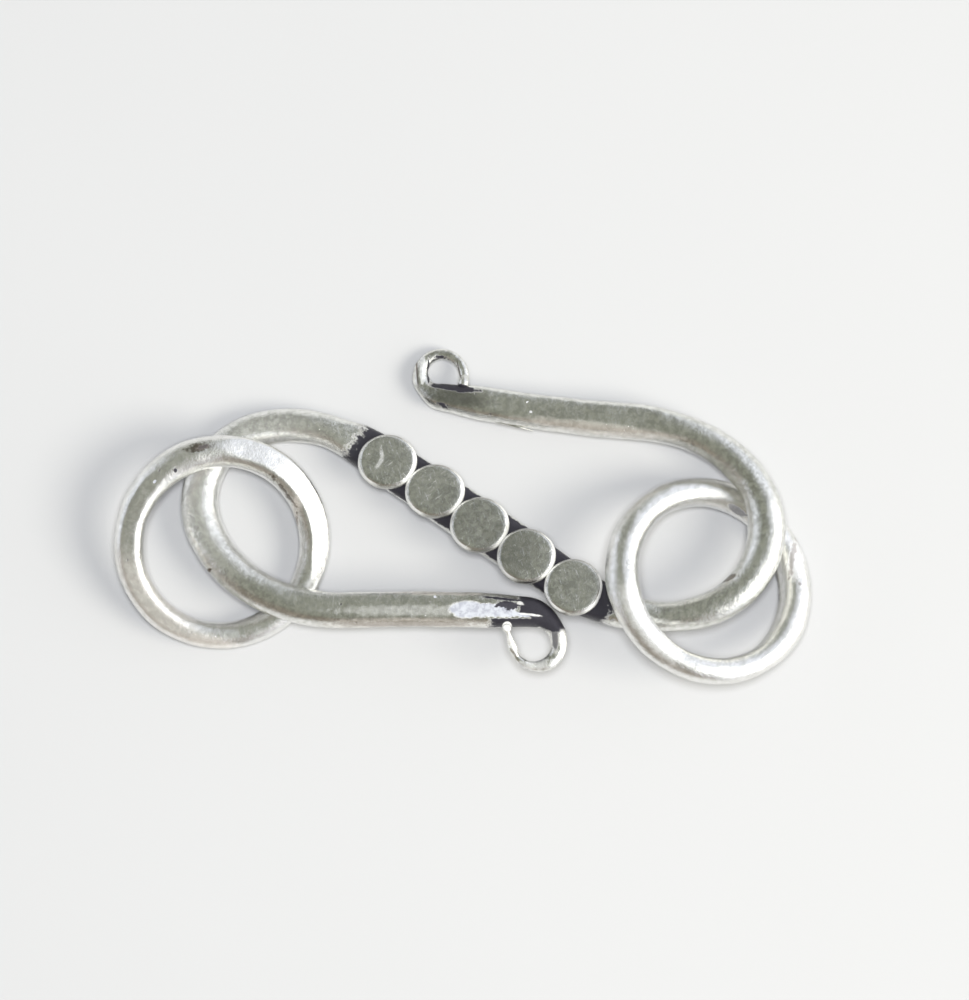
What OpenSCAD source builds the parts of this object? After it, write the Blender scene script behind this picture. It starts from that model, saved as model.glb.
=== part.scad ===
// Handmade silver s-hook clasp, fastened to two closed jump rings, lying on a table.
// Millimetres. X runs along the clasp, Z is up. The origin is on the table, under the middle of the
// clasp's outline. The hook leans on both rings, and each ring leans on the hook's wire.

/* [Hook wire] */
// Diameter of the hook's wire in its arms
wire_d = 1.42; // [1.36:0.01:1.48]
// Width of the wire in the two bends, where it was pulled round and pressed
bend_w = 1.58; // [1.5:0.01:1.62]
// Width of the flattened bar in the middle of the hook
bar_w = 2.05; // [1.9:0.05:2.2]
// Thickness of the flattened bar
bar_t = 0.9; // [0.8:0.05:1]
// Angle from X down to the bar, seen from above
bar_angle = 34.4; // [34:0.1:35]

/* [Discs] */
// Number of flattened balls soldered along the bar
disc_count = 5; // [3:5]
// Diameter of a flattened ball
disc_d = 2.48; // [2.44:0.01:2.52]
// Distance from one disc to the next along the bar
disc_pitch = 2.365; // [2.35:0.005:2.38]
// Height of a disc over the bar
disc_rise = 0.5; // [0.4:0.05:0.6]

/* [Eyes] */
// Thickness of the drawn-out wire where an eye begins
eye_wire_d = 0.62; // [0.58:0.01:0.66]
// Thickness of the wire at an eye's end
tip_d = 0.38; // [0.34:0.01:0.42]

/* [Jump rings] */
// Diameter of the wire of both rings
ring_wire_d = 1.25; // [1.2:0.01:1.27]
// Diameter of both rings, measured through the middle of the wire
ring_mid_d = 7.78; // [7.74:0.01:7.8]

/* [Hidden] */

silver = "silver";
worn_silver = "darkgray";

// How the three pieces lie. tilt is the angle off level, low_side the direction that slopes down.
HOOK_AT = [0.76, -0.33, 1.775];
HOOK_TILT = 10.37;
HOOK_LOW_SIDE = 101.8;
LEFT_RING_AT = [-10.01, -1.10, 1.509];
LEFT_RING_TILT = 13.13;
LEFT_RING_LOW_SIDE = 306.1;
RIGHT_RING_AT = [10.22, -2.70, 2.351];
RIGHT_RING_TILT = 26.33;
RIGHT_RING_LOW_SIDE = 38.1;

// The wire's sections: sides round the wire, and the longest step and turn from one to the next.
WIRE_SIDES = 12;
STEP = 0.5;
STEP_TURN = 9;
ROUND = 2;
FLAT = 4;

// The hook's run from the middle of the bar to the end of an eye, in its own plane. A row is a stretch
// with one bend radius. Its columns are the stretch's length, the angle it turns to the left, and
// at its end the wire's width, thickness, squareness (2 is an ellipse) and rise out of the plane.
RIGHT_RUN = [
    [4.95, 0, bar_w - 0.25, bar_t, FLAT, 0],
    [2.75, 24, wire_d - 0.06, wire_d - 0.1, ROUND, 0],
    [1.25, 13, wire_d - 0.2, wire_d - 0.1, ROUND, 0],
    [1.5, 15, wire_d, wire_d, ROUND, 0],
    [4.15, 65, bend_w, wire_d, ROUND, 0],
    [3, 47, wire_d + 0.02, wire_d, ROUND, 0],
    [2.95, 30, wire_d - 0.02, wire_d, ROUND, 0],
    [2.45, 16, wire_d - 0.06, wire_d, ROUND, 0],
    [6.25, -6, wire_d - 0.14, wire_d - 0.14, ROUND, 0],
    [1.75, 2, 1.02, 1, ROUND, 0],
    [0.95, -50, eye_wire_d + 0.12, eye_wire_d + 0.12, ROUND, 0],
    [1.05, -69, eye_wire_d, eye_wire_d, ROUND, 0],
    [1, -66, tip_d + 0.06, tip_d + 0.06, ROUND, 0],
    [1.3, -74, tip_d, tip_d, ROUND, 0.1],
];
LEFT_RUN = [
    [4.55, 0, bar_w - 0.12, bar_t, FLAT, 0],
    [0.8, 0, bar_w - 0.25, bar_t + 0.1, FLAT, 0],
    [2.05, 14, wire_d - 0.02, wire_d, ROUND, 0],
    [3.35, 38, wire_d, wire_d, ROUND, 0],
    [5.25, 95, bend_w, wire_d, ROUND, 0],
    [3.7, 41, bend_w - 0.04, wire_d, ROUND, 0],
    [3.6, 28, wire_d, wire_d, ROUND, 0],
    [5.9, -3, wire_d, wire_d - 0.04, ROUND, 0],
    [1.5, -1, 1.18, 1.12, ROUND, 0],
    [1.65, -56, eye_wire_d + 0.06, eye_wire_d, ROUND, 0],
    [1.2, -75, tip_d + 0.1, tip_d + 0.1, ROUND, 0],
    [1.6, -99, tip_d + 0.02, tip_d, ROUND, 0.1],
    [1, -15, tip_d, tip_d, ROUND, 0.3],
];
BAR_START = [0, 0, bar_w, bar_t, FLAT, 0];

DISC_SIDES = 24;
DISC_EDGE_STEPS = 3;
disc_edge_r = 0.25;
disc_sink = 0.08;
// The discs were soldered a little askew on the bar, and are a little narrower than wide.
DISC_ROW_AT = [0.05, -0.16];
DISC_ROW_TURN = -0.4;
DISC_OFF_LINE = [-0.02, 0.07, -0.05, -0.03, 0.03];
DISC_NARROWING = 0.94;
end_cap_steps = 3;

function ease(t) = t * t * (3 - 2 * t);
function mix(a, b, t) = a + (b - a) * t;

// The point reached from p by an arc that starts toward heading and turns to the left
function arc_end(p, heading, length, turn) =
    p + length * (abs(turn) < 0.1 ? 1 : sin(turn / 2) / (turn / 2 * PI / 180))
        * [cos(heading + turn / 2), sin(heading + turn / 2)];

// The stations of a run: [point, heading, width, thickness, squareness, rise]
function run_stations(rows, p, heading, before = BAR_START, i = 0) =
    i == len(rows) ? [] :
    let (
        row = rows[i],
        steps = ceil(max(row[0] / STEP, abs(row[1]) / STEP_TURN))
    )
    concat(
        [for (k = [1:steps])
            let (t = k / steps)
            [
                arc_end(p, heading, row[0] * t, row[1] * t),
                heading + row[1] * t,
                mix(before[2], row[2], ease(t)),
                mix(before[3], row[3], ease(t)),
                mix(before[4], row[4], ease(t)),
                mix(before[5], row[5], ease(t))
            ]
        ],
        run_stations(rows, arc_end(p, heading, row[0], row[1]), heading + row[1], row, i + 1)
    );

// Stations that close a wire's end with a round nose, from the last station outward
function nose_stations(s) = [
    for (k = [1:end_cap_steps])
        let (a = 90 * k / (end_cap_steps + 1))
        [s[0] + s[2] / 2 * sin(a) * [cos(s[1]), sin(s[1])], s[1], s[2] * cos(a), s[3] * cos(a), s[4], s[5]]
];

function with_nose(stations) = concat(stations, nose_stations(stations[len(stations) - 1]));

function reversed(list) = [for (k = [len(list) - 1:-1:0]) list[k]];

function turned_back(s) = [s[0], s[1] + 180, s[2], s[3], s[4], s[5]];

// A section's outline round the wire, a rounded box or an ellipse set square to the heading
function section(s) = [
    for (k = [0:WIRE_SIDES - 1])
        let (
            a = 360 * (k + 0.5) / WIRE_SIDES,
            across = s[2] / 2 * sign(cos(a)) * pow(abs(cos(a)), 2 / s[4]),
            up = s[3] / 2 * sign(sin(a)) * pow(abs(sin(a)), 2 / s[4])
        )
        [s[0][0] - across * sin(s[1]), s[0][1] + across * cos(s[1]), s[5] + up]
];

// Skins a row of sections with triangles and closes both ends
module skin(sections) {
    n = len(sections[0]);
    last = len(sections) - 1;
    function at(i, k) = i * n + k % n;
    polyhedron(
        points = [for (s = sections) each s],
        faces = concat(
            [for (i = [0:last - 1], k = [0:n - 1]) [at(i, k), at(i + 1, k), at(i, k + 1)]],
            [for (i = [0:last - 1], k = [0:n - 1]) [at(i, k + 1), at(i + 1, k), at(i + 1, k + 1)]],
            [[for (k = [0:n - 1]) at(0, k)]],
            [[for (k = [n - 1:-1:0]) at(last, k)]]
        )
    );
}

// The whole wire, from the tip of the lower eye through the bar to the tip of the upper eye
module hook_wire() {
    heading = -bar_angle;
    left = with_nose(run_stations(LEFT_RUN, [0, 0], heading + 180));
    right = with_nose(run_stations(RIGHT_RUN, [0, 0], heading));
    middle = [[0, 0], heading, bar_w, bar_t, FLAT, 0];
    stations = concat([for (s = reversed(left)) turned_back(s)], [middle], right);
    skin([for (s = stations) section(s)]);
}

// One ball hammered flat: a coin with a rounded edge, sunk a little into the bar
module disc() {
    base = bar_t / 2 - disc_sink;
    top = bar_t / 2 + disc_rise;
    for (side = [-1, 1])
        hull()
            for (k = [0:DISC_EDGE_STEPS])
                let (
                    a = 90 * k / DISC_EDGE_STEPS,
                    z = side > 0 ? top - disc_edge_r * (1 - sin(a)) : base + disc_edge_r * (1 - sin(a))
                )
                translate([0, 0, min(z, (base + top) / 2)])
                    cylinder(
                        h = abs(z - (base + top) / 2),
                        d = disc_d - 2 * disc_edge_r * (1 - cos(a)),
                        $fn = DISC_SIDES
                    );
}

module disc_row() {
    turn = DISC_ROW_TURN - bar_angle;
    translate(DISC_ROW_AT)
        rotate([0, 0, turn])
            for (i = [0:disc_count - 1])
                translate([(i - (disc_count - 1) / 2) * disc_pitch, DISC_OFF_LINE[i], 0])
                    rotate([0, 0, -turn])
                        scale([1, DISC_NARROWING, 1])
                            disc();
}

// Leans a piece by tilt toward low_side, without turning it in its own plane
module leaning(at, tilt, low_side) {
    translate(at)
        rotate([0, 0, low_side])
            rotate([0, tilt, 0])
                rotate([0, 0, -low_side])
                    children();
}

module jump_ring(at, tilt, low_side) {
    leaning(at, tilt, low_side)
        rotate_extrude($fn = 96)
            translate([ring_mid_d / 2, 0])
                circle(d = ring_wire_d, $fn = 24);
}

module s_hook() {
    color(worn_silver)
        leaning(HOOK_AT, HOOK_TILT, HOOK_LOW_SIDE)
            union() {
                hook_wire();
                disc_row();
            }
}

module left_ring() {
    color(silver)
        jump_ring(LEFT_RING_AT, LEFT_RING_TILT, LEFT_RING_LOW_SIDE);
}

module right_ring() {
    color(silver)
        jump_ring(RIGHT_RING_AT, RIGHT_RING_TILT, RIGHT_RING_LOW_SIDE);
}

s_hook();
left_ring();
right_ring();
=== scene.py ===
"""A handmade silver s-hook clasp, fastened to two closed jump rings and lying on a pale table.

The hook is forged as a silversmith does it: its wire is drawn out straight, its bar is hammered flat, and it
is then bent along its two runs. Sizes are in millimetres until a piece is laid in its place in the frame.
"""

from __future__ import annotations

import logging
import math
from dataclasses import dataclass
from enum import Enum
from functools import reduce
from typing import Callable, Iterable

import bmesh
import bpy
from mathutils import Matrix, Vector


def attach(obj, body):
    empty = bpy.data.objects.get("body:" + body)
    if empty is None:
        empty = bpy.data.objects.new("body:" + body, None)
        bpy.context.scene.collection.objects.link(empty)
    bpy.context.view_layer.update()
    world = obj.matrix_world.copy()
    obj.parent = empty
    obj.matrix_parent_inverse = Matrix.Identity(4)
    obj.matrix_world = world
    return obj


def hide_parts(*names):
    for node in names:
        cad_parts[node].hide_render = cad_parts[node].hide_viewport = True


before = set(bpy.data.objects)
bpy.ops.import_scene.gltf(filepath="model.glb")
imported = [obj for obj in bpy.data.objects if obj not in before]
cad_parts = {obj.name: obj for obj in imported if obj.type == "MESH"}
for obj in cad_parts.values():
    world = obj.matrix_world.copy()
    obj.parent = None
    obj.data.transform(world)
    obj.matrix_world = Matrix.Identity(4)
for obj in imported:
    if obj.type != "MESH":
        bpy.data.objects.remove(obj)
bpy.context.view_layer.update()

log = logging.getLogger("clasp")

MM = 0.001
PHOTO_SIZE = (969, 1000)
PIXELS_PER_MM = 24.0
BODY = "root"
# A length in mm or an angle in radians under this counts as nothing
NOTHING = 0.001
# Vertices this close in mm are merged
DOUBLES = 0.0005
# A vertex this close in mm to a ring's section belongs to it
SLICE = 0.01
Triple = tuple[float, float, float]
Pair = tuple[float, float]
Piece, Socket = bpy.types.Object, bpy.types.NodeSocket


def ease(t: float) -> float:
    """Smooth step from 0 to 1."""
    return t * t * (3 - 2 * t)


def mix(a: float, b: float, t: float) -> float:
    """The number between a and b at share t."""
    return a + (b - a) * t


def drawn_in(sides: int) -> float:
    """The share by which a subdivision surface draws a regular polygon in."""
    return 2 / 3 + math.cos(2 * math.pi / sides) / 3


def hand_in(piece: Piece, material: bpy.types.Material, node: str) -> None:
    """Dresses a finished piece in its material, hangs it on the root body and hides the CAD node that it
    stands for.

    Args:
        piece: The finished object.
        material: Its material.
        node: The CAD node that it stands for.
    """
    piece.data.materials.append(material)
    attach(piece, BODY)
    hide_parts(node)
    log.info("%s: %d faces", piece.name, len(piece.data.polygons))


def link(name: str, data: bpy.types.ID) -> Piece:
    """Puts a new object in the scene.

    Args:
        name: Its plain name.
        data: Its data.

    Returns:
        The object.
    """
    piece = bpy.data.objects.new(name, data)
    bpy.context.scene.collection.objects.link(piece)
    return piece


class Bench:
    """The modelling tools: Blender's operators, with the selecting that they need."""

    @staticmethod
    def clear() -> None:
        """Deselects every object."""
        if bpy.context.object and bpy.context.object.mode != "OBJECT":
            bpy.ops.object.mode_set(mode="OBJECT")
        bpy.ops.object.select_all(action="DESELECT")

    @staticmethod
    def take(piece: Piece) -> None:
        """Makes one object the only selected and active one.

        Args:
            piece: The object.
        """
        Bench.clear()
        piece.select_set(True)
        bpy.context.view_layer.objects.active = piece

    @staticmethod
    def name(name: str) -> Piece:
        """Names the primitive that was just added, and puts its place in its mesh.

        Args:
            name: Its plain name.

        Returns:
            The object.
        """
        piece = bpy.context.object
        piece.name = name
        piece.data.name = name
        bpy.ops.object.transform_apply(location=True, rotation=True, scale=True)
        return piece

    @staticmethod
    def edit() -> None:
        """Opens the active object's mesh with nothing selected."""
        bpy.ops.object.mode_set(mode="EDIT")
        bpy.ops.mesh.select_mode(type="VERT")
        bpy.ops.mesh.select_all(action="DESELECT")

    @staticmethod
    def pick(test: Callable[[Vector], bool]) -> int:
        """Selects the vertices of the open mesh that pass a test, and no others.

        Args:
            test: Says yes or no to a vertex's place.

        Returns:
            How many were selected.
        """
        mesh = bmesh.from_edit_mesh(bpy.context.object.data)
        for vertex in mesh.verts:
            vertex.select = test(vertex.co)
        mesh.select_flush(True)
        mesh.select_flush(False)
        bmesh.update_edit_mesh(bpy.context.object.data)
        return sum(vertex.select for vertex in mesh.verts)

    @staticmethod
    def close() -> None:
        """Merges doubles, turns the open mesh's faces outward and leaves edit mode."""
        bpy.ops.mesh.select_all(action="SELECT")
        bpy.ops.mesh.remove_doubles(threshold=DOUBLES)
        bpy.ops.mesh.normals_make_consistent(inside=False)
        bpy.ops.object.mode_set(mode="OBJECT")

    @staticmethod
    def apply(piece: Piece, kind: str, **settings: object) -> None:
        """Adds a modifier to an object and applies it.

        Args:
            piece: The object.
            kind: The modifier's type.
            **settings: Its settings by name.
        """
        Bench.take(piece)
        modifier = piece.modifiers.new(kind.lower(), kind)
        for key, value in settings.items():
            setattr(modifier, key, value)
        bpy.ops.object.modifier_apply(modifier=modifier.name)

    @staticmethod
    def finish(piece: Piece, levels: int, uneven: Iterable[Pair], place: Matrix) -> None:
        """Rounds a coarse form, leaves it a little uneven, as hand work is, and lays it in its place.

        Args:
            piece: The object.
            levels: How often its faces are divided.
            uneven: Size and full height of each unevenness in mm.
            place: Where it goes, in mm.
        """
        if levels:
            Bench.apply(piece, "SUBSURF", levels=levels, render_levels=levels)
        for size, depth in uneven:
            clouds = bpy.data.textures.new(piece.name, "CLOUDS")
            clouds.noise_scale = size
            settings = {"texture": clouds, "texture_coords": "LOCAL", "strength": depth, "mid_level": 0.5}
            Bench.apply(piece, "DISPLACE", **settings)
        Bench.take(piece)
        piece.matrix_world = Matrix.Scale(MM, 4) @ place
        bpy.ops.object.transform_apply(location=True, rotation=True, scale=True)
        bpy.ops.object.shade_smooth()


@dataclass(frozen=True)
class Lean:
    """How a piece lies: its middle in mm, and in degrees its angle off level and the way that slopes down."""

    at: Triple
    tilt: float
    low_side: float

    def matrix(self) -> Matrix:
        """Lays the piece.

        Returns:
            The matrix of its place in mm.
        """
        round_z = Matrix.Rotation(math.radians(self.low_side), 4, "Z")
        down = Matrix.Rotation(math.radians(self.tilt), 4, "Y")
        return Matrix.Translation(self.at) @ round_z @ down @ round_z.inverted()


@dataclass(frozen=True)
class Stretch:
    """A stretch of the hook's wire with one bend radius: its length, and its turn to the left in degrees.

    The others are the wire's at its end: its width across the hook, its thickness, its flatness, which is 1
    where it is hammered flat and 0 where it is round, and its rise out of the hook's plane.
    """

    length: float
    turn: float
    width: float
    thickness: float
    flat: float = 0.0
    rise: float = 0.0

    def wire_length(self, start: float) -> float:
        """Length of wire that the stretch takes, from the height where it starts."""
        return math.hypot(self.length, self.rise - start)


@dataclass(frozen=True)
class Station:
    """One section of the straight wire: its place along it, width, thickness and flatness."""

    along: float
    width: float
    thickness: float
    flat: float


@dataclass
class HookWire:
    """The hook's one drawn wire, from the lower eye's tip through the bar to the upper eye's tip."""

    lean: Lean = Lean((0.76, -0.33, 1.775), 10.37, 101.8)
    bar_angle: float = -34.4
    bar_width: float = 2.05
    bar_thickness: float = 0.9
    wire: float = 1.42
    bend: float = 1.58
    eye: float = 0.62
    tip: float = 0.38
    neck: float = 0.16
    sides: int = 16
    step: float = 0.5
    step_turn: float = 9.0
    nose_steps: int = 3
    former_steps: int = 24
    uneven: tuple[Pair, ...] = ((1.1, 0.05), (0.35, 0.018))
    ball_size: float = 0.38
    ball_sides: int = 24
    ball_rings: int = 16
    burr: tuple[Pair, Pair] = ((0.6, 4.44), (2.18, 3.99))
    burr_size: float = 0.2
    burr_taper: float = 6.0

    def runs(self) -> tuple[list[Stretch], list[Stretch]]:
        """The stretches from the bar's middle round each bend and along each arm to its eye.

        Returns:
            The left run to the lower eye, and the right run to the upper one. A row has a Stretch's columns.
        """
        bar, thick, wire, bend = self.bar_width, self.bar_thickness, self.wire, self.bend
        eye, tip, neck = self.eye, self.tip, self.neck
        left = (
            (4.55, 0, bar - 0.12, thick, 1),
            (0.8, 0, bar - 0.25, thick + 0.1, 1),
            (2.05, 14, wire - 0.02, wire),
            (3.35, 38, wire, wire),
            (5.25, 95, bend, wire),
            (3.7, 41, bend - 0.04, wire),
            (3.6, 28, wire + 0.06, wire - 0.1, 0.3),
            (5.9, -4, wire + 0.04, wire - 0.2, 0.35),
            (1.5, 0, 1.26, 1.1, 0.2),
            (1.57, -60, eye + 0.12, eye + 0.08),
            (1.16, -62, eye - 0.02, tip + 0.14),
            (1.4, -85, tip - 0.02, tip - 0.02, 0, 0.08),
            (0.37, -23, tip - 0.14, tip - 0.14, 0, 0.16),
            (0.49, -21, tip + 0.04, tip + 0.04, 0, 0.4),
            (0.38, 1, neck, neck, 0, 0.62),
            (0.34, 0, neck, neck, 0, 0.76),
        )
        right = (
            (4.95, 0, bar - 0.25, thick, 1),
            (2.75, 24, wire - 0.06, wire - 0.1),
            (1.25, 13, wire - 0.2, wire - 0.1),
            (1.5, 15, wire, wire),
            (4.15, 65, bend, wire),
            (3, 47, wire + 0.02, wire),
            (2.95, 30, wire - 0.02, wire),
            (2.45, 16, wire + 0.08, wire - 0.12, 0.3),
            (6.25, -6, wire + 0.02, wire - 0.22, 0.35),
            (1.75, 2, 1.12, 1, 0.2),
            (0.95, -50, eye + 0.12, eye + 0.12),
            (1.05, -69, eye - 0.08, eye - 0.08),
            (1, -66, tip + 0.08, tip + 0.08),
            (1.3, -74, tip + 0.04, tip + 0.04, 0, 0.1),
            (0.4, -18, tip + 0.08, tip + 0.08, 0, 0.3),
        )
        return [Stretch(*row) for row in left], [Stretch(*row) for row in right]

    def stations(self, run: Iterable[Stretch]) -> list[Station]:
        """The sections along one run, with the round nose that closes it.

        Args:
            run: The run's stretches, from the bar outward.

        Returns:
            Sections from the bar's middle outward.
        """
        out: list[Station] = []
        start = 0.0
        before = Stretch(0, 0, self.bar_width, self.bar_thickness, flat=1)
        for row in run:
            steps = math.ceil(max(row.length / self.step, abs(row.turn) / self.step_turn))
            length = row.wire_length(before.rise)
            for k in range(1, steps + 1):
                t = ease(k / steps)
                width = mix(before.width, row.width, t)
                thickness = mix(before.thickness, row.thickness, t)
                along = start + length * k / steps
                out.append(Station(along, width, thickness, mix(before.flat, row.flat, t)))
            start += length
            before = row
        end = out[-1]
        for k in range(1, self.nose_steps + 1):
            a = math.radians(90 * k / (self.nose_steps + 1))
            along = end.along + end.width / 2 * math.sin(a)
            out.append(Station(along, end.width * math.cos(a), end.thickness * math.cos(a), 0))
        return out

    def forge(self) -> Piece:
        """Draws the wire out straight along X and hammers its bar flat.

        Returns:
            The straight wire, starting at the lower eye's tip.
        """
        left, right = (self.stations(run) for run in self.runs())
        back = [Station(-s.along, s.width, s.thickness, s.flat) for s in reversed(left)]
        row = [*back, Station(0, self.bar_width, self.bar_thickness, 1), *right]
        first = row[0]
        here = (first.along, 0, 0)
        Bench.clear()
        bpy.ops.mesh.primitive_circle_add(
            vertices=self.sides,
            radius=0.5 / drawn_in(self.sides),
            fill_type="NGON",
            location=here,
            rotation=(0, math.pi / 2, 0),
        )
        piece = Bench.name("hook_wire")
        Bench.edit()
        bpy.ops.mesh.select_all(action="SELECT")
        bpy.ops.transform.rotate(value=math.pi / self.sides, orient_axis="X", center_override=here)
        size = (1, first.width, first.thickness * (1 + first.flat))
        bpy.ops.transform.resize(value=size, center_override=here)
        for a, b in zip(row, row[1:]):
            bpy.ops.mesh.extrude_region_move(TRANSFORM_OT_translate={"value": (b.along - a.along, 0, 0)})
            grown = b.thickness * (1 + b.flat) / (a.thickness * (1 + a.flat))
            bpy.ops.transform.resize(value=(1, b.width / a.width, grown), center_override=(b.along, 0, 0))
        for s in row:
            if s.flat > 0:
                self.hammer(s)
        Bench.close()
        Bench.apply(piece, "SUBSURF", levels=2, render_levels=2)
        return piece

    @staticmethod
    def hammer(at: Station) -> None:
        """Presses one section of the open mesh flat above and below, down to its thickness.

        Args:
            at: The section.
        """
        for side in (-1, 1):
            face = side * at.thickness / 2
            if Bench.pick(lambda co: abs(co.x - at.along) < NOTHING and side * co.z > side * face):
                bpy.ops.transform.resize(value=(1, 1, 0), center_override=(at.along, 0, face))

    def former(self) -> Piece:
        """The curve that the wire is bent along, from the lower eye's tip to the upper eye's.

        Returns:
            A Bezier curve in the hook's own plane.
        """
        left_run, right_run = self.runs()
        left = self.arc_points(left_run, 180 + self.bar_angle)
        right = self.arc_points(right_run, self.bar_angle)
        middle = (Vector((0, 0, 0)), left[0][0] / 3, right[0][0] / 3)
        points = [*((p, after, before) for p, before, after in reversed(left)), middle, *right]
        curve = bpy.data.curves.new("former", "CURVE")
        curve.dimensions = "3D"
        curve.twist_mode = "Z_UP"
        curve.resolution_u = self.former_steps
        spline = curve.splines.new("BEZIER")
        spline.bezier_points.add(len(points) - 1)
        for knot, (p, before, after) in zip(spline.bezier_points, points):
            knot.handle_left_type = knot.handle_right_type = "FREE"
            knot.co = p
            knot.handle_left = before
            knot.handle_right = after
        return link("former", curve)

    @staticmethod
    def arc_points(run: Iterable[Stretch], heading: float) -> list[tuple[Vector, Vector, Vector]]:
        """Bezier points along one run, an arc at a time.

        Args:
            run: The run's stretches.
            heading: The direction it starts in, in degrees.

        Returns:
            For each point its place, the handle before it and the handle after it.
        """
        longest_turn = 30
        out: list[tuple[Vector, Vector, float]] = []
        place, low = Vector((0, 0, 0)), 0.0
        for row in run:
            pieces = max(1, math.ceil(abs(row.turn) / longest_turn))
            length, a = row.length / pieces, math.radians(row.turn / pieces)
            straight = abs(a) < NOTHING
            chord = length if straight else length * math.sin(a / 2) / (a / 2)
            reach = length / 3 if straight else 4 / 3 * math.tan(abs(a) / 4) * length / abs(a)
            for k in range(1, pieces + 1):
                way = math.radians(heading) + a / 2
                x, y = place.x + chord * math.cos(way), place.y + chord * math.sin(way)
                place = Vector((x, y, mix(low, row.rise, k / pieces)))
                heading += row.turn / pieces
                ahead = Vector((math.cos(math.radians(heading)), math.sin(math.radians(heading)), 0))
                out.append((place, ahead, reach))
            low = row.rise
        following = [*(reach for _, _, reach in out[1:]), out[-1][2]]
        return [(p, p - ahead * reach, p + ahead * after) for (p, ahead, reach), after in zip(out, following)]

    def build(self) -> Piece:
        """Makes the whole wire: forges it straight, bends it along the former and lays it in its place.

        Returns:
            The finished wire.
        """
        piece = self.forge()
        former = self.former()
        run, _ = self.runs()
        reach = sum(row.wire_length(before) for row, before in zip(run, [0.0, *(row.rise for row in run)]))
        Bench.take(piece)
        Bench.edit()
        bpy.ops.mesh.select_all(action="SELECT")
        bpy.ops.transform.translate(value=(reach, 0, 0))
        bpy.ops.object.mode_set(mode="OBJECT")
        Bench.apply(piece, "CURVE", object=former, deform_axis="POS_X")
        bpy.data.objects.remove(former)
        Bench.finish(piece, 0, self.uneven, self.lean.matrix())
        return piece

    def melt_ball(self) -> Piece:
        """Makes the little ball that the torch drew up on the lower eye's tip.

        Returns:
            The finished ball.
        """
        place = self.arc_points(self.runs()[0], 180 + self.bar_angle)[-1][0]
        Bench.clear()
        bpy.ops.mesh.primitive_uv_sphere_add(
            segments=self.ball_sides, ring_count=self.ball_rings, radius=self.ball_size / 2, location=place
        )
        return self.finish_detail("tip_ball")

    def peel_burr(self) -> Piece:
        """Makes the thin burr that the hammer left along the near edge of the upper arm.

        Returns:
            The finished burr.
        """
        start, end = (Vector((*place, 0)) for place in self.burr)
        along = end - start
        Bench.clear()
        bpy.ops.mesh.primitive_cone_add(
            vertices=self.sides,
            radius1=self.burr_size / 2,
            radius2=self.burr_size / 2 / self.burr_taper,
            depth=along.length,
            location=(start + end) / 2,
            rotation=(0, math.pi / 2, math.atan2(along.y, along.x)),
        )
        return self.finish_detail("arm_burr")

    def finish_detail(self, name: str) -> Piece:
        """Names a detail that was just added in the hook's plane, and lays it with the hook.

        Args:
            name: Its plain name.

        Returns:
            The finished detail.
        """
        piece = Bench.name(name)
        Bench.edit()
        Bench.close()
        Bench.finish(piece, 0, (), self.lean.matrix())
        return piece


@dataclass(frozen=True)
class DiscShape:
    """How one flattened ball departs from the row: its place off the line, and its width and depth."""

    off_line: float
    wider: float
    deeper: float


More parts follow.
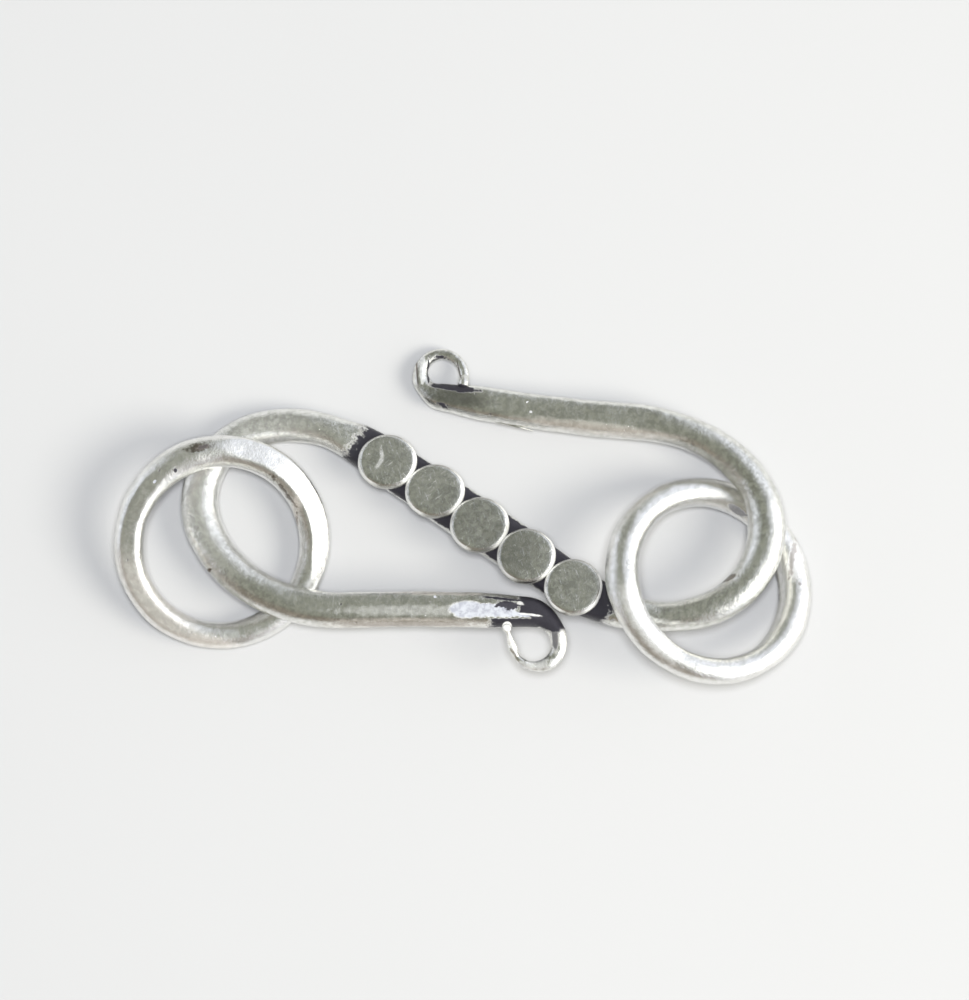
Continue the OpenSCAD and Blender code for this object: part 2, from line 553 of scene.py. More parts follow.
@dataclass
class DiscRow:
    """The row of balls hammered into discs and soldered along the bar."""

    hook: HookWire
    diameter: float = 2.48
    pitch: float = 2.35
    rise: float = 0.5
    sink: float = 0.12
    sides: int = 40
    rim: float = 0.16
    rim_steps: int = 5
    rim_profile: float = 0.34
    rim_steepness: float = 1.45
    crown_insets: Pair = (0.25, 0.35)
    crown_rise: float = 0.004
    uneven: tuple[Pair, ...] = ((1.4, 0.05), (0.5, 0.02))
    narrowing: float = 0.94
    middle: Pair = (0.01, -0.11)
    row_turn: float = -0.4
    shapes: tuple[DiscShape, ...] = (
        DiscShape(-0.02, 1.0, 1.0),
        DiscShape(0.07, 1.01, 0.99),
        DiscShape(-0.05, 1.0, 1.02),
        DiscShape(-0.03, 0.99, 1.01),
        DiscShape(-0.01, 0.98, 1.03),
    )

    def build(self) -> list[Piece]:
        """Makes every disc and lays it on the bar."""
        return [self.build_disc(i, shape) for i, shape in enumerate(self.shapes)]

    def build_disc(self, i: int, shape: DiscShape) -> Piece:
        """Makes one disc: a short cylinder with a hammered, rounded rim and a slightly crowned top.

        Args:
            i: Its place in the row, from the upper left.
            shape: How it departs from the row.

        Returns:
            The finished disc.
        """
        base = self.hook.bar_thickness / 2 - self.sink
        top = self.hook.bar_thickness / 2 + self.rise
        depth = (top - base) / self.rim_steepness
        Bench.clear()
        bpy.ops.mesh.primitive_cylinder_add(
            vertices=self.sides, radius=self.diameter / 2, depth=depth, location=(0, 0, top - depth / 2)
        )
        piece = Bench.name(f"disc_{i + 1}")
        Bench.edit()
        bpy.ops.mesh.select_all(action="SELECT")
        outline = (shape.wider, self.narrowing * shape.deeper, 1)
        bpy.ops.transform.resize(value=outline, center_override=(0, 0, 0))
        bpy.ops.mesh.select_mode(type="EDGE")
        mesh = bmesh.from_edit_mesh(piece.data)
        for edge in mesh.edges:
            edge.select = abs(edge.verts[0].co.z - edge.verts[1].co.z) < NOTHING
        bmesh.update_edit_mesh(piece.data)
        bpy.ops.mesh.bevel(offset=self.rim, segments=self.rim_steps, profile=self.rim_profile, affect="EDGES")
        bpy.ops.mesh.select_all(action="SELECT")
        bpy.ops.transform.resize(value=(1, 1, self.rim_steepness), center_override=(0, 0, top))
        self.crown(piece, top)
        Bench.close()
        turn = math.radians(self.hook.bar_angle + self.row_turn)
        along = (i - (len(self.shapes) - 1) / 2) * self.pitch
        here = Matrix.Rotation(turn, 4, "Z") @ Matrix.Translation((along, shape.off_line, 0))
        here = Matrix.Translation((*self.middle, 0)) @ here @ Matrix.Rotation(-turn, 4, "Z")
        Bench.finish(piece, 1, self.uneven, self.hook.lean.matrix() @ here)
        return piece

    def crown(self, piece: Piece, top: float) -> None:
        """Insets the flat top twice and lifts its middle a little.

        Args:
            piece: The disc, open in edit mode.
            top: The height of its top.
        """
        nearly_up = 0.99
        bpy.ops.mesh.select_mode(type="FACE")
        mesh = bmesh.from_edit_mesh(piece.data)
        for face in mesh.faces:
            face.select = face.normal.z > nearly_up and face.calc_center_median().z > top - NOTHING
        bmesh.update_edit_mesh(piece.data)
        for inset in self.crown_insets:
            bpy.ops.mesh.inset(thickness=inset, depth=self.crown_rise)
        bpy.ops.mesh.select_mode(type="VERT")


@dataclass(frozen=True)
class Flat:
    """A flat filed along part of a ring, from one angle to another, in degrees from X.

    Facing is how far it faces outward from the ring's axis, in degrees. Left is its distance from the wire's
    middle, as a share of half the wire.
    """

    start: float
    end: float
    facing: float
    left: float


@dataclass
class JumpRing:
    """A closed jump ring of hand-drawn wire.

    Attributes:
        wires: The wire's thickness in mm, by the angle from X in degrees.
        flat_run: How many degrees a flat takes to reach its depth.
    """

    name: str
    lean: Lean
    wires: dict[int, float]
    flats: tuple[Flat, ...]
    middle_diameter: float = 7.78
    sections: int = 96
    sides: int = 32
    flat_run: float = 20.0
    uneven: tuple[Pair, ...] = ((1.3, 0.05), (0.4, 0.02))

    def wire_at(self, angle: float) -> float:
        """The wire's thickness at an angle, eased between the two given ones beside it.

        Args:
            angle: The angle from X in degrees, from 0 to 360.

        Returns:
            The thickness in mm.
        """
        rows = list(self.wires.items())
        first, wire = rows[0]
        angle = first + (angle - first) % 360
        for (a, before), (b, after) in zip(rows, [*rows[1:], (first + 360, wire)]):
            if a <= angle <= b:
                return mix(before, after, ease((angle - a) / (b - a)))
        return wire

    def build(self) -> Piece:
        """Makes the ring from 1 mm wire, scales each section to its thickness, and lays it in its place.

        Returns:
            The finished ring.
        """
        Bench.clear()
        bpy.ops.mesh.primitive_torus_add(
            major_segments=self.sections,
            minor_segments=self.sides,
            major_radius=self.middle_diameter / 2,
            minor_radius=0.5 / drawn_in(self.sides),
        )
        piece = Bench.name(self.name)
        Bench.edit()
        for k in range(self.sections):
            angle = 360 * k / self.sections
            way, along, middle = self.section(angle)
            Bench.pick(lambda co: abs(co.dot(along)) < SLICE and co.dot(way) > 0)
            bpy.ops.transform.resize(value=(self.wire_at(angle),) * 3, center_override=middle)
            for flat in self.flats:
                place = flat.start + (angle - flat.start) % 360
                if place <= flat.end:
                    self.file_flat(place, flat)
        Bench.close()
        Bench.finish(piece, 1, self.uneven, self.lean.matrix())
        return piece

    def section(self, angle: float) -> tuple[Vector, Vector, Vector]:
        """Where one section of the ring is.

        Args:
            angle: The section's angle from X in degrees.

        Returns:
            The directions outward and along the wire, and the wire's middle.
        """
        a = math.radians(angle)
        way = Vector((math.cos(a), math.sin(a), 0))
        return way, Vector((-way.y, way.x, 0)), way * (self.middle_diameter / 2)

    def file_flat(self, angle: float, flat: Flat) -> None:
        """Presses one section of the open ring onto a flat's plane, less at the flat's ends.

        Args:
            angle: The section's angle from X in degrees.
            flat: The flat.
        """
        way, along, middle = self.section(angle)
        facing = math.radians(flat.facing)
        normal = way * math.sin(facing) + Vector((0, 0, math.cos(facing)))
        depth = ease(min(1.0, (angle - flat.start) / self.flat_run, (flat.end - angle) / self.flat_run))
        on_plane = middle + normal * (self.wire_at(angle) / 2 * mix(1, flat.left, depth))
        level = on_plane.dot(normal)
        if Bench.pick(lambda co: abs(co.dot(along)) < SLICE and co.dot(way) > 0 and co.dot(normal) > level):
            bpy.ops.transform.resize(
                value=(1, 1, 0),
                orient_type="GLOBAL",
                orient_matrix=Matrix((along.cross(normal), along, normal)).transposed(),
                orient_matrix_type="GLOBAL",
                center_override=on_plane,
            )


class Value:
    """A socket in a shader, on which Python's operators build Math nodes."""

    def __init__(self, paint: Painter, socket: Socket) -> None:
        """Wraps a socket of a painter's tree."""
        self.paint = paint
        self.socket = socket

    def math(self, operation: str, *others: Value | float) -> Value:
        """Adds a Math node with these further inputs, and returns its output."""
        node = self.paint.node("Math", {"operation": operation}, dict(enumerate((self, *others))))
        return Value(self.paint, node.outputs[0])

    def __add__(self, other: Value | float) -> Value:
        """Sum."""
        return self.math("ADD", other)

    def __sub__(self, other: Value | float) -> Value:
        """Difference."""
        return self.math("SUBTRACT", other)

    def __rsub__(self, other: float) -> Value:
        """Difference, with the number first."""
        return self.math("MULTIPLY", -1.0).math("ADD", other)

    def __mul__(self, other: Value | float) -> Value:
        """Product."""
        return self.math("MULTIPLY", other)

    def __truediv__(self, other: Value | float) -> Value:
        """Quotient."""
        return self.math("DIVIDE", other)

    def __pow__(self, other: float) -> Value:
        """Power."""
        return self.math("POWER", other)

    __radd__ = __add__
    __rmul__ = __mul__

    def top(self, other: Value | float) -> Value:
        """The larger of two values."""
        return self.math("MAXIMUM", other)

    def size(self) -> Value:
        """The value without its sign."""
        return self.math("ABSOLUTE")

    def rise(self, low: float, high: float) -> Value:
        """A smooth step from 0 to 1.

        Args:
            low: Where it is 0. It may be the larger number, for a step down.
            high: Where it is 1.

        Returns:
            The step.
        """
        (start, first), (end, last) = sorted(((low, 0.0), (high, 1.0)))
        inputs = {"Value": self, "From Min": start, "From Max": end, "To Min": first, "To Max": last}
        node = self.paint.node("MapRange", {"interpolation_type": "SMOOTHSTEP"}, inputs)
        return Value(self.paint, node.outputs["Result"])


@dataclass(frozen=True)
class Grain:
    """A noise pattern: features in a unit of length, and how many and how strong the finer layers are."""

    scale: float
    detail: float = 3.0
    rough: float = 0.55


class Painter:
    """Builds one shader tree: every node comes from its node method."""

    def __init__(self, owner: bpy.types.Material | bpy.types.World) -> None:
        """Gives a material or a world an empty tree.

        Args:
            owner: The material or world.
        """
        owner.use_nodes = True
        self.tree = owner.node_tree
        self.tree.nodes.clear()

    def node(
        self,
        kind: str,
        settings: dict[str, object] | None = None,
        inputs: dict[str | int, object] | None = None,
    ) -> bpy.types.Node:
        """Adds a node.

        Args:
            kind: The node's type, without its first word.
            settings: The node's own settings, which are set first.
            inputs: Values, sockets or Values for its inputs, by name or number.

        Returns:
            The node.
        """
        node = self.tree.nodes.new("ShaderNode" + kind)
        for key, value in (settings or {}).items():
            setattr(node, key, value)
        for key, value in (inputs or {}).items():
            socket = node.inputs[key]
            if isinstance(value, Value):
                self.tree.links.new(value.socket, socket)
            elif isinstance(value, Socket):
                self.tree.links.new(value, socket)
            elif isinstance(value, tuple) and socket.type == "RGBA":
                socket.default_value = (*value, 1.0)
            else:
                socket.default_value = value
        return node

    def coordinate(self, name: str) -> Socket:
        """One of the texture coordinates."""
        return self.node("TexCoord").outputs[name]

    def blend(self, share: Value, a: object, b: object) -> Socket:
        """Mixes two colours or sockets: share 0 gives the first, 1 the second."""
        return self.node("Mix", {"data_type": "RGBA"}, {0: share, 6: a, 7: b}).outputs[2]

    def dot(self, vector: Socket, way: Iterable[float]) -> Value:
        """How far a vector reaches along a direction."""
        node = self.node("VectorMath", {"operation": "DOT_PRODUCT"}, {0: vector, 1: tuple(way)})
        return Value(self, node.outputs["Value"])

    def noise(self, place: Socket, grain: Grain) -> Value:
        """Noise round 0.5."""
        inputs = {"Vector": place, "Scale": grain.scale, "Detail": grain.detail, "Roughness": grain.rough}
        return Value(self, self.node("TexNoise", None, inputs).outputs[0])

    def finish(self, output: str, shader: bpy.types.Node) -> None:
        """Links a shader to the tree's output node."""
        self.node(output, None, {"Surface": shader.outputs[0]})


@dataclass(frozen=True)
class Coat:
    """What lies on the silver at a mark, or the painted reflection or painted shade that some marks put
    there.

    It has a colour and darker patches, hides a share of the metal's mirror, and roughens the surface.
    """

    colour: Triple
    patches: Triple
    hides: float = 0.0
    rough: float = 0.0


class TarnishAndPaintedLight(Enum):
    """What a mark on the silver is, from the lowest coat to the uppermost. Most are stains and torch white;
    some marks of the brown, warm, white and black kinds are painted reflections and painted shade.
    """

    WHITE = Coat((0.385, 0.4, 0.43), (0.275, 0.285, 0.32), hides=0.65)
    WARM = Coat((0.5, 0.42, 0.33), (0.42, 0.35, 0.27), hides=0.5)
    DULL = Coat((0.2, 0.2, 0.19), (0.19, 0.19, 0.18))
    BROWN = Coat((0.14, 0.1, 0.07), (0.13, 0.095, 0.068))
    BLACK = Coat((0.022, 0.021, 0.026), (0.02, 0.019, 0.024), hides=0.7, rough=0.22)
    CHALK = Coat((0.64, 0.64, 0.61), (0.52, 0.52, 0.5), hides=0.75)


@dataclass(frozen=True)
class Mark:
    """A place where the silver is stained, left matt white by the torch, or given a painted reflection or
    painted shade, seen from above.

    Its place and size are in mm, and its length's turn in degrees. Ragged is how far noise moves its edge, in
    mm, and soft the edge's width as a share of the size. It is an oval, or a box where square is set. Below
    is the height over the hook's plane that it stays under, or None.
    """

    x: float
    y: float
    length: float
    width: float
    turn: float = 0.0
    ragged: float = 0.08
    soft: float = 0.25
    strength: float = 1.0
    square: bool = False
    kind: TarnishAndPaintedLight = TarnishAndPaintedLight.BLACK
    below: float | None = None

    # How much the ragged edge's noise varies, and half the height over which a mark ends below
    noise_reach = 0.25
    below_soft = 0.03

    def mask(self, paint: Painter, place: Socket, height: Value, edge: Value) -> Value:
        """Where the mark is.

        Args:
            paint: The material's painter.
            place: Places in mm.
            height: Height over the piece's own plane in mm.
            edge: Noise round 0 that makes the edge ragged.

        Returns:
            A value from 0 to the mark's strength.
        """
        a = math.radians(self.turn)
        at = Vector((self.x, self.y, 0))
        long, wide = Vector((math.cos(a), math.sin(a), 0)), Vector((-math.sin(a), math.cos(a), 0))
        sides = ((long, self.length), (wide, self.width))
        u, v = (((paint.dot(place, way) - at.dot(way)) / (size / 2)).size() for way, size in sides)
        far = u.top(v) if self.square else (u * u + v * v) ** 0.5
        far = far + edge * (self.ragged / self.noise_reach / (self.width / 2))
        mask = far.rise(1 + self.soft / 2, 1 - self.soft / 2) * self.strength
        if self.below is None:
            return mask
        return mask * height.rise(self.below + self.below_soft, self.below - self.below_soft)


def marks(kind: TarnishAndPaintedLight, *rows: tuple[float, ...]) -> tuple[Mark, ...]:
    """Oval marks of one kind, each a row of x, y, length, width, turn, ragged, soft and strength."""
    return tuple(Mark(*row, kind=kind) for row in rows)


# Noise patterns in the metal, per mm, the steps that make masks of them, and how much each does
CLOUD, MOTTLE, GRAIN, EDGE = Grain(0.9), Grain(4.0, 6.0, 0.7), Grain(18.0, 4.0, 0.65), Grain(4.5, 6.0, 0.7)
CLOUD_STEP, DULL_STEP, PATCH_STEP = (0.35, 0.65), (0.42, 0.58), (0.42, 0.6)
CLOUD_THINS, CLOUD_ROUGH, DULL_ROUGH, GRAIN_SHARE = 0.5, 0.06, 0.12, 0.2
MOTTLE_RELIEF, GRAIN_RELIEF, STROKE_RELIEF, PIT_RELIEF = 0.45, 0.25, 0.5, 1.2
PITS_PER_MM, PIT_STEP, PIT_SOFT, PIT_SHADE, PIT_COLOUR = 1.6, (0.085, 0.045), 0.02, 0.8, (0.12, 0.11, 0.1)
STROKE_COLOUR = (0.97, 0.97, 0.96)


@dataclass(frozen=True)
class FileStrokes:
    """Fine file strokes: their direction in degrees, and how many fit across a millimetre."""

    turn: float
    fine: float
    length: float = 0.5
    width: float = 0.2
    grain: Grain = Grain(1.0, 2.0, 0.5)
    step: Pair = (0.62, 0.78)

    def mask(self, paint: Painter, place: Socket) -> Value:
        """Where the strokes are.

        Args:
            paint: The material's painter.
            place: Places in mm.

        Returns:
            1 in a stroke, 0 beside it.
        """
        scale = (self.length, self.width / self.fine, 1)
        inputs = {"Vector": place, "Rotation": (0, 0, math.radians(self.turn)), "Scale": scale}
        stretched = paint.node("Mapping", {"vector_type": "TEXTURE"}, inputs)
        return paint.noise(stretched.outputs[0], self.grain).rise(*self.step)


@dataclass(frozen=True)
class Rims:
    """The discs' rims: black beside the bar, with a painted highlight on the two sides that face along X and
    painted shade on the two that face along Y.

    Black and crown are heights over the hook's plane in mm. The painted highlight's steps and left say how
    far a face points along X and along Y; left sets the painted shade. Their two numbers are where a smooth
    step starts and ends.
    """

    black: Pair = (0.65, 0.55)
    ragged: float = 0.2
    crown: Pair = (0.88, 0.91)
    dulled: float = 0.07
    # Painted highlight: rim faces that point along X are lightened and made less metallic
    painted_highlight: Pair = (0.2, 0.55)
    painted_highlight_colour: Triple = (0.72, 0.72, 0.69)
    painted_highlight_share: float = 0.75
    painted_highlight_matt: float = 0.45
    # Painted shade: rim faces that point along Y are darkened
    left: Pair = (0.58, 0.86)
    painted_shade_colour: Triple = (0.34, 0.33, 0.29)
    painted_shade_share: float = 0.6

    def foot(self, height: Value, mottle: Value) -> Value:
        """Where a rim is black beside the bar."""
        return (height + (mottle - 0.5) * self.ragged).rise(*self.black)

    def paint_rim_light(self, paint: Painter, colour: Socket, height: Value) -> tuple[Socket, Value]:
        """Dulls the tops, paints a highlight on the rim faces that point along X and paints shade on those
        that point along Y.

        Args:
            paint: The material's painter.
            colour: The metal's colour.
            height: Height over the hook's plane in mm.

        Returns:
            The new colour, and how much of the mirror is lost.
        """
        crown = height.rise(*self.crown)
        facing = paint.coordinate("Normal")
        # Painted highlight on the rim faces that point along X, and painted shade on those that point along Y
        painted_highlight = (1 - crown) * paint.dot(facing, (1, 0, 0)).size().rise(*self.painted_highlight)
        left = (1 - crown) * paint.dot(facing, (0, 1, 0)).size().rise(*self.left)
        colour = paint.blend(crown * self.dulled, colour, TarnishAndPaintedLight.DULL.value.colour)
        colour = paint.blend(painted_highlight * self.painted_highlight_share, colour, self.painted_highlight_colour)
        return paint.blend(left * self.painted_shade_share, colour, self.painted_shade_colour), painted_highlight * self.painted_highlight_matt


@dataclass(frozen=True)
class SilverFinish:
    """Worn silver: bright metal with streaks and pits, dark tarnish where wear has not taken it off, and
    painted reflections and painted shade at some marks and on the disc rims.

    Dirt is the share of the surface that its duller patches take, pits the share of the pits that show, and
    matt the share that scatters light. Strokes says how much lighter the file strokes are, from 0 to 1. Bump
    is the depth of the fine unevenness in mm. The lean is the piece's own, for what follows its plane.
    """

    name: str
    marks: tuple[Mark, ...]
    metal: Triple = (0.93, 0.925, 0.9)
    dull: Triple = (0.58, 0.58, 0.54)
    dirt: float = 0.6
    roughness: float = 0.09
    bump: float = 0.045
    pits: float = 0.25
    strokes: float = 0.0
    matt: float = 0.0
    rims: Rims | None = None
    lean: Lean = Lean((0, 0, 0), 0, 0)

    def material(self) -> bpy.types.Material:
        """Builds the finish.

        Returns:
            The Blender material.
        """
        material = bpy.data.materials.new(self.name)
        paint = Painter(material)
        place = {"Vector": paint.coordinate("Object"), "Scale": (1 / MM,) * 3}
        mm = paint.node("Mapping", None, place).outputs[0]
        cloud, mottle, grain = (paint.noise(mm, pattern) for pattern in (CLOUD, MOTTLE, GRAIN))
        stroke = FileStrokes(35, 4.0).mask(paint, mm).top(FileStrokes(110, 3.1).mask(paint, mm))
        pit = self.pitting(paint, mm)
        spots = (mottle * (1 - GRAIN_SHARE) + grain * GRAIN_SHARE).rise(*DULL_STEP)
        dull = spots * (cloud.rise(*CLOUD_STEP) * CLOUD_THINS + (1 - CLOUD_THINS)) * self.dirt
        colour = paint.blend(dull, self.metal, self.dull)
        colour = paint.blend(stroke * self.strokes, colour, STROKE_COLOUR)
        colour = paint.blend(pit * PIT_SHADE, colour, PIT_COLOUR)
        metallic: Value | float = 1 - self.matt
        rough = self.roughness + (cloud - 0.5) * CLOUD_ROUGH + dull * DULL_ROUGH
        normal = (self.lean.matrix().to_3x3() @ Vector((0, 0, 1))).normalized()
        height = paint.dot(mm, normal) - Vector(self.lean.at).dot(normal)
        if self.rims:
            # Painted highlight and painted shade on the disc rims, by the way each face points
            colour, lost = self.rims.paint_rim_light(paint, colour, height)
            metallic = metallic - lost
        edge = paint.noise(mm, EDGE) - 0.5
        patches = mottle.rise(*PATCH_STEP)
        for kind in TarnishAndPaintedLight:
            masks = [mark.mask(paint, mm, height, edge) for mark in self.marks if mark.kind is kind]
            if self.rims and kind is TarnishAndPaintedLight.BLACK:
                masks.append(self.rims.foot(height, mottle))
            if masks:
                mask, coat = reduce(Value.top, masks), kind.value
                colour = paint.blend(mask, colour, paint.blend(patches, coat.colour, coat.patches))
                metallic = metallic - mask * coat.hides
                rough = rough + mask * coat.rough
        relief = mottle * MOTTLE_RELIEF + grain * GRAIN_RELIEF
        relief = relief + stroke * (self.strokes * STROKE_RELIEF) - pit * PIT_RELIEF
        bump = paint.node("Bump", None, {"Strength": 1.0, "Distance": self.bump * MM, "Height": relief})
        inputs = {"Base Color": colour, "Metallic": metallic, "Roughness": rough, "Normal": bump.outputs[0]}
        paint.finish("OutputMaterial", paint.node("BsdfPrincipled", None, inputs))
        return material

    def pitting(self, paint: Painter, place: Socket) -> Value:
        """Small round pits, scattered unevenly.

        Args:
            paint: The material's painter.
            place: Places in mm.

        Returns:
            1 in a pit, 0 beside it.
        """
        cells = paint.node("TexVoronoi", None, {"Vector": place, "Scale": PITS_PER_MM, "Randomness": 1.0})
        first = 1 - self.pits
        chosen = paint.dot(cells.outputs["Color"], (1, 0, 0)).rise(first, first + PIT_SOFT)
        return Value(paint, cells.outputs["Distance"]).rise(*PIT_STEP) * chosen


class Way(Enum):
    """Directions in the studio, as azimuth from X and elevation, in degrees."""

    CAMERA = (-90.0, 88.0)
    WINDOW = (-8.0, 20.0)
    LAMP = (-18.0, 46.0)
    OVERHEAD = (192.0, 70.0)
    FILL = (-90.0, 90.0)

    def vector(self) -> Vector:
        """The direction as a unit vector."""
        round_z, up = (math.radians(a) for a in self.value)
        return Vector((math.cos(round_z) * math.cos(up), math.sin(round_z) * math.cos(up), math.sin(up)))


def off(degrees: float) -> float:
    """The dot product of two directions this many degrees apart."""
    return math.cos(math.radians(degrees))


@dataclass
class Room:
    """What the silver mirrors: light walls, a window at the right, and a dark strip that runs overhead.

    The strip runs from the far side to the near one. It leans to the left toward both ends, spreads toward
    its near end, and is brown low down there. The two numbers of an edge are where a smooth step starts and
    ends, in degrees for the pane and for the dark round the overhead direction.
    """

    window: Triple = (3.0, 2.98, 2.88)
    pane: Pair = (36.0, 25.0)
    walls: Triple = (0.9, 0.935, 1.02)
    right: Triple = (0.98, 0.0, 0.0)
    bow: float = 0.2
    right_edge: Pair = (0.62, 0.16)
    left_edge: Pair = (0.5, 0.41)
    near: Triple = (-0.19, -0.98, 0.0)
    spread: Pair = (0.3, 0.9)
    overhead: Pair = (43.0, 41.0)
    ceiling: Triple = (0.31, 0.32, 0.27)
    gloom: Triple = (0.16, 0.165, 0.135)
    gloom_step: Pair = (0.36, 0.62)
    patches: Grain = Grain(3.5)
    brown: Triple = (0.27, 0.24, 0.2)
    brown_way: Triple = (-0.26, -0.97, 0.0)
    near_step: Pair = (0.2, 0.6)
    low_step: Pair = (0.95, 0.6)

    def build(self) -> None:
        """Makes the room the scene's world."""
        world = bpy.data.worlds.new("room")
        bpy.context.scene.world = world
        paint = Painter(world)
        way = paint.coordinate("Generated")
        across = paint.dot(way, self.right) + paint.dot(way, (0, 1, 0)).size() * self.bow
        near = paint.dot(way, self.near).top(0.0)
        to_right, to_left = self.spread
        strip = (across - near * to_right).rise(*self.right_edge)
        strip = strip * (0 - across - near * to_left).rise(*self.left_edge)
        dark = strip.top(paint.dot(way, Way.OVERHEAD.vector()).rise(*map(off, self.overhead)))
        low = paint.dot(way, (0, 0, 1)).rise(*self.low_step)
        end = paint.dot(way, self.brown_way).rise(*self.near_step) * low
        gloom = paint.noise(way, self.patches).rise(*self.gloom_step)
        shade = paint.blend(end, paint.blend(gloom, self.gloom, self.ceiling), self.brown)
        pane = paint.dot(way, Way.WINDOW.vector()).rise(*map(off, self.pane))
        colour = paint.blend(pane, paint.blend(dark, self.walls, shade), self.window)
        paint.finish("OutputWorld", paint.node("Background", None, {"Color": colour, "Strength": 1.0}))


@dataclass(frozen=True)
class Lamp:
    """A round light that shines on the clasp, but that the silver does not mirror. Its power is in watts."""

    name: str
    way: Way
    size: float
    power: float
    colour: Triple
    distance: float = 300.0

    def hang(self) -> None:
        """Adds the light to the scene."""
        data = bpy.data.lights.new(self.name, "AREA")
        data.shape = "DISK"
        data.size = self.size * MM
        data.energy = self.power
        data.color = self.colour
        light = link(self.name, data)
        light.location = self.way.vector() * self.distance * MM
        light.rotation_euler = self.way.vector().to_track_quat("Z", "Y").to_euler()
        light.visible_glossy = False


@dataclass
class Studio:
    """The pale table, the lights, and the camera above."""

    table_size: float = 900.0
    table_colours: tuple[Triple, Triple] = ((0.248, 0.25, 0.25), (0.258, 0.26, 0.26))
    table_roughness: float = 0.7
    table_grain: Grain = Grain(30.0)
    lamps: tuple[Lamp, ...] = (
        Lamp("lamp", Way.LAMP, 150.0, 1.3, (1.0, 0.96, 0.86)),
        Lamp("fill", Way.FILL, 60.0, 1.715, (0.975, 0.985, 1.03)),
    )
    aim: Triple = (0.0, 0.0, 1.3)
    camera_distance: float = 250.0
    sensor: float = 36.0
    clip: Pair = (0.01, 5.0)
    object_middle: Pair = (462.4, 517.2)

    def build(self) -> None:
        """Sets up the table, the lights and the camera."""
        self.table()
        for lamp in self.lamps:
            lamp.hang()
        self.camera()
        bpy.context.scene.view_settings.view_transform = "Standard"

    def table(self) -> None:
        """The surface that the clasp lies on."""
        Bench.clear()
        bpy.ops.mesh.primitive_plane_add(size=self.table_size * MM, location=(0, 0, 0))
        table = Bench.name("table")
        material = bpy.data.materials.new("pale_table")
        paint = Painter(material)
        colour = paint.blend(paint.noise(paint.coordinate("Object"), self.table_grain), *self.table_colours)
        inputs = {"Base Color": colour, "Roughness": self.table_roughness}
        paint.finish("OutputMaterial", paint.node("BsdfPrincipled", None, inputs))
        table.data.materials.append(material)

    def camera(self) -> None:
        """The camera, looking down at the photograph's angle."""
        data = bpy.data.cameras.new("camera")
        camera = link("camera", data)
        wide, high = PHOTO_SIZE
        x, y = self.object_middle
        data.sensor_width = self.sensor
        data.lens = self.sensor * self.camera_distance / (high / PIXELS_PER_MM)
        data.clip_start, data.clip_end = self.clip
        data.shift_x = (wide / 2 - x) / high
        data.shift_y = (y - high / 2) / high
        way = Way.CAMERA.vector()
        camera.location = (Vector(self.aim) + way * self.camera_distance) * MM
        camera.rotation_euler = way.to_track_quat("Z", "Y").to_euler()
        bpy.context.scene.camera = camera


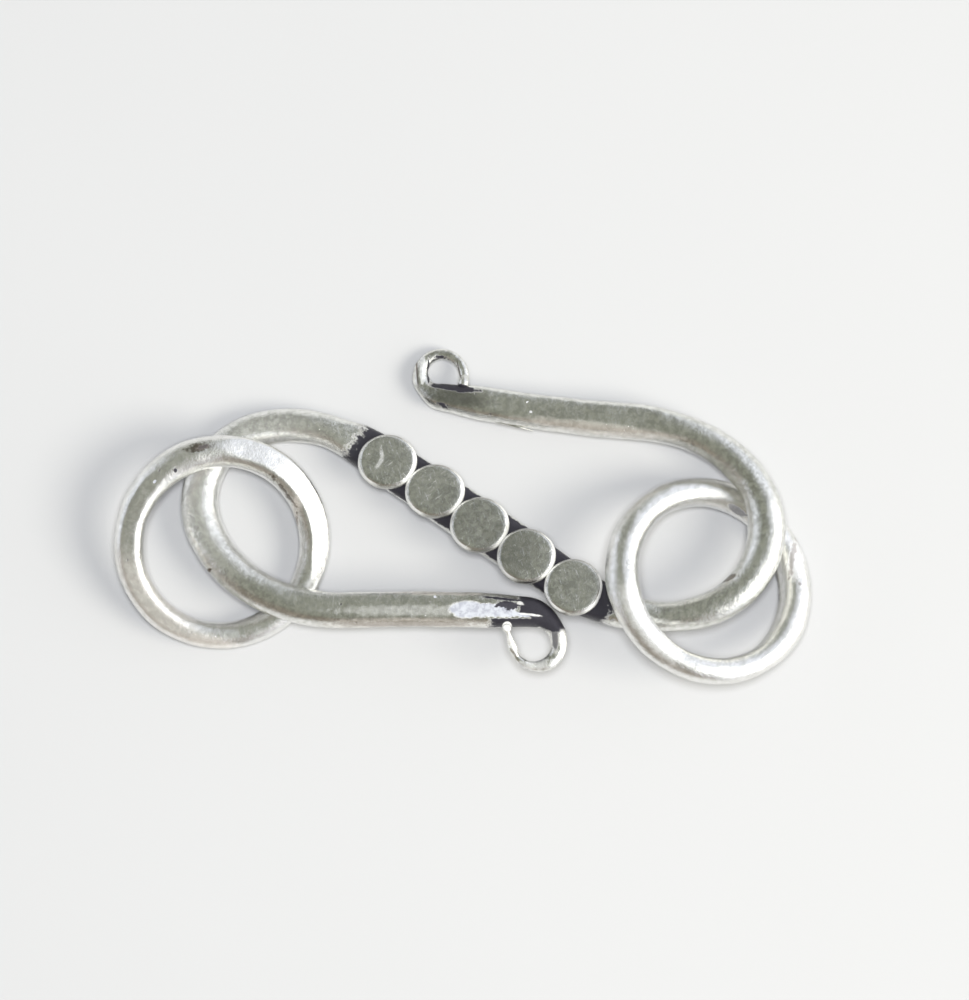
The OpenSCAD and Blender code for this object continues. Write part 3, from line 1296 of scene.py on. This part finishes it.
HOOK_MARKS = (
    Mark(0.86, -0.37, 12.95, 1.9, -33.7, 0.06, 0.06, square=True),
    Mark(2.8, -3.86, 0.9, 0.55, -14, 0.06, square=True),
    Mark(2.28, -4.43, 2.3, 0.38, 0, 0.04, 0.3, square=True, below=0.62),
    Mark(1.3, -3.92, 1.9, 0.55, 0, 0.08, 0.3, square=True, kind=TarnishAndPaintedLight.WHITE),
    *marks(
        TarnishAndPaintedLight.BLACK,
        (3.5, -4.12, 2.0, 1.15, -35, 0.05),
        (2.95, -3.55, 1.3, 0.6, -18, 0.04),
        (3.83, -5.0, 1.3, 0.26, -87, 0.02, 0.5, 0.9),
        (1.9, -3.72, 1.0, 0.34, 0, 0.14),
        (1.65, -3.43, 1.8, 0.12, -6, 0.03),
        (-0.35, 5.41, 2.2, 0.28, -8, 0.04),
        (-0.05, 5.38, 0.6, 0.38, -5, 0.05),
        (-1.42, 6.1, 0.12, 1.1),
        (-0.95, 6.72, 0.6, 0.12, -5),
        (-0.85, 4.7, 0.55, 0.16, -20, 0.12),
    ),
    *marks(
        TarnishAndPaintedLight.CHALK,
        (4.2, -5.42, 1.5, 0.34, -84, 0.05, 0.6, 0.45),
        (2.8, -4.09, 0.9, 0.08, -7, 0.03, 0.8, 0.5),
        (2.4, -3.62, 0.24, 0.12, -10, 0.05, 0.8, 0.4),
        (1.85, -4.58, 0.4, 0.4, 0, 0.0, 0.25, 0.75),
        (2.12, -5.2, 0.5, 0.9, 25, 0.02, 0.6, 0.5),
    ),
    *marks(
        TarnishAndPaintedLight.WARM,
        (-0.9, -3.18, 3.6, 0.2, -1, 0.08, 0.9, 0.4),
        # The next two marks are a painted warm reflection along the lower edges of the two arms
        (-2.4, -4.5, 6.4, 0.5, 0, 0.1, 0.9, 0.3),
        (5.6, 3.68, 6.0, 0.5, -7, 0.1, 0.9, 0.35),
    ),
    *marks(
        TarnishAndPaintedLight.WHITE,
        (0.2, -3.88, 1.45, 0.72, 0, 0.06, 0.3),
        (2.9, -6.2, 1.7, 0.5, 8, 0.16, 0.6, 0.4),
        (-1.66, 6.2, 0.28, 1.3, 0, 0.1, 0.25, 0.5),
        (-9.4, 1.6, 8.0, 7.0, 0, 0.4, 0.9, 0.16),
        # A painted reflection: the light streak along the middle of the lower arm
        (-2.2, -3.92, 5.4, 0.42, 0, 0.12, 0.9, 0.18),
        (2.7, 4.79, 0.12, 0.07, 40, 0.02, 0.25, 0.7),
        (2.85, 4.38, 0.13, 0.08, -30, 0.02, 0.25, 0.7),
        (-1.13, -3.35, 0.14, 0.1, 0, 0.02),
        (2.4, -4.08, 1.6, 0.2, -6, 0.05),
    ),
    *marks(
        TarnishAndPaintedLight.BROWN,
        (-1.9, 6.2, 0.08, 1.5, 4, 0.03, 0.6, 0.8),
        (-0.14, 6.17, 0.07, 0.8, 12, 0.03, 0.6, 0.7),
        # The next two marks are a painted brown reflection along the lower edges of the two arms
        (-2.4, -4.47, 5.6, 0.24, 0, 0.06, 0.6, 0.5),
        (5.3, 3.78, 4.6, 0.3, -7, 0.1, 0.9, 0.2),
        (-10.54, -2.23, 0.2, 0.16),
        (11.02, -2.57, 0.6, 0.22, 25, 0.05, 0.25, 0.7),
    ),
    *marks(TarnishAndPaintedLight.DULL, (-0.3, 5.0, 2.6, 0.7, -8, 0.08, 0.9, 0.65)),
)
DISC_MARKS = (
    *marks(
        TarnishAndPaintedLight.WHITE,
        (-3.35, 2.6, 0.5, 0.14, -82, 0.05, 1.2, 0.32),
        (-3.43, 2.25, 0.5, 0.16, 58, 0.05, 1.2, 0.32),
    ),
    *marks(
        TarnishAndPaintedLight.DULL,
        (-0.05, 0.02, 2.4, 2.2, 0, 0.08, 0.9, 0.15),
        (1.9, -1.3, 2.4, 2.2, 0, 0.08, 0.9, 0.32),
    ),
)
RING_MARKS = (
    *marks(
        TarnishAndPaintedLight.BLACK,
        (-10.75, 2.86, 0.46, 0.2, 14, 0.1, 0.6, 0.8),
        (-11.88, 1.88, 0.17, 0.17, 0, 0.03),
        # Painted shade on the right ring beside the hook's right bend, where the bend passes over the ring
        (11.42, 0.3, 0.95, 0.3, -33, 0.05, 0.25, 0.8),
        (13.13, -3.35, 0.14, 0.36, 0, 0.08, 0.25, 0.8),
        (14.02, -2.82, 0.12, 0.12, 0, 0.08, 0.25, 0.8),
    ),
    *marks(
        TarnishAndPaintedLight.BROWN,
        (-10.9, 2.82, 1.0, 0.36, 12, 0.14, 0.8, 0.8),
        (13.75, -1.7, 1.9, 0.2, 80, 0.12, 0.25, 0.5),
        (-6.98, -0.9, 1.9, 0.14, 84, 0.09, 0.25, 0.8),
        (-7.35, 1.0, 1.6, 0.14, -52, 0.09, 0.25, 0.7),
    ),
    *marks(
        TarnishAndPaintedLight.WARM,
        # The next two marks are a painted warm reflection on the left ring's lower left
        (-12.7, -3.6, 5.0, 1.5, -50, 0.2, 1.0, 0.24),
        (-10.6, -5.2, 2.6, 0.6, -12, 0.2, 1.0, 0.3),
        (-7.1, -0.6, 3.0, 0.5, 80, 0.12, 0.9, 0.45),
    ),
    *marks(
        TarnishAndPaintedLight.WHITE,
        (-12.74, 1.42, 0.18, 0.11, 40, 0.03),
        (7.68, -4.55, 3.4, 1.0, -53, 0.1, 0.9, 0.42),
        (13.94, -1.7, 1.9, 0.75, 80, 0.12, 0.25, 0.38),
    ),
)


def main() -> None:
    """Builds the clasp and the studio in order."""
    logging.basicConfig(level=logging.INFO, format="%(message)s")
    hook = HookWire()
    wire = hook.build()
    details = [hook.melt_ball(), hook.peel_burr()]
    discs = DiscRow(hook).build()
    left = JumpRing(
        "ring_left",
        Lean((-10.01, -1.1, 1.509), 13.13, 306.1),
        {20: 1.32, 60: 1.34, 90: 1.34, 112: 1.4, 135: 1.35, 170: 1.25, 225: 1.17, 260: 1.1, 310: 1.16},
        (Flat(-25, 95, 28, 0.74), Flat(125, 255, 8, 0.905)),
    ).build()
    right = JumpRing(
        "ring_right",
        Lean((10.22, -2.7, 2.351), 26.33, 38.1),
        {0: 1.38, 60: 1.24, 125: 1.2, 150: 1.34, 187: 1.4, 217: 1.22, 250: 1.1, 300: 1.08, 335: 1.36},
        (Flat(180, 262, 0, 0.93),),
    ).build()
    worn_silver = SilverFinish(
        "worn_silver", HOOK_MARKS, metal=(0.93, 0.93, 0.89), dull=(0.55, 0.55, 0.51), dirt=0.7, lean=hook.lean
    ).material()
    disc_silver = SilverFinish(
        "disc_silver",
        DISC_MARKS,
        metal=(0.93, 0.93, 0.9),
        dull=(0.42, 0.43, 0.4),
        strokes=0.25,
        rims=Rims(),
        lean=hook.lean,
    ).material()
    ring_silver = SilverFinish("ring_silver", RING_MARKS, dirt=0.45, matt=0.02).material()
    for disc in discs:
        hand_in(disc, disc_silver, "s_hook")
    for piece in (wire, *details):
        hand_in(piece, worn_silver, "s_hook")
    hand_in(left, ring_silver, "left_ring")
    hand_in(right, ring_silver, "right_ring")
    Room().build()
    Studio().build()


if __name__ == "__main__":
    main()
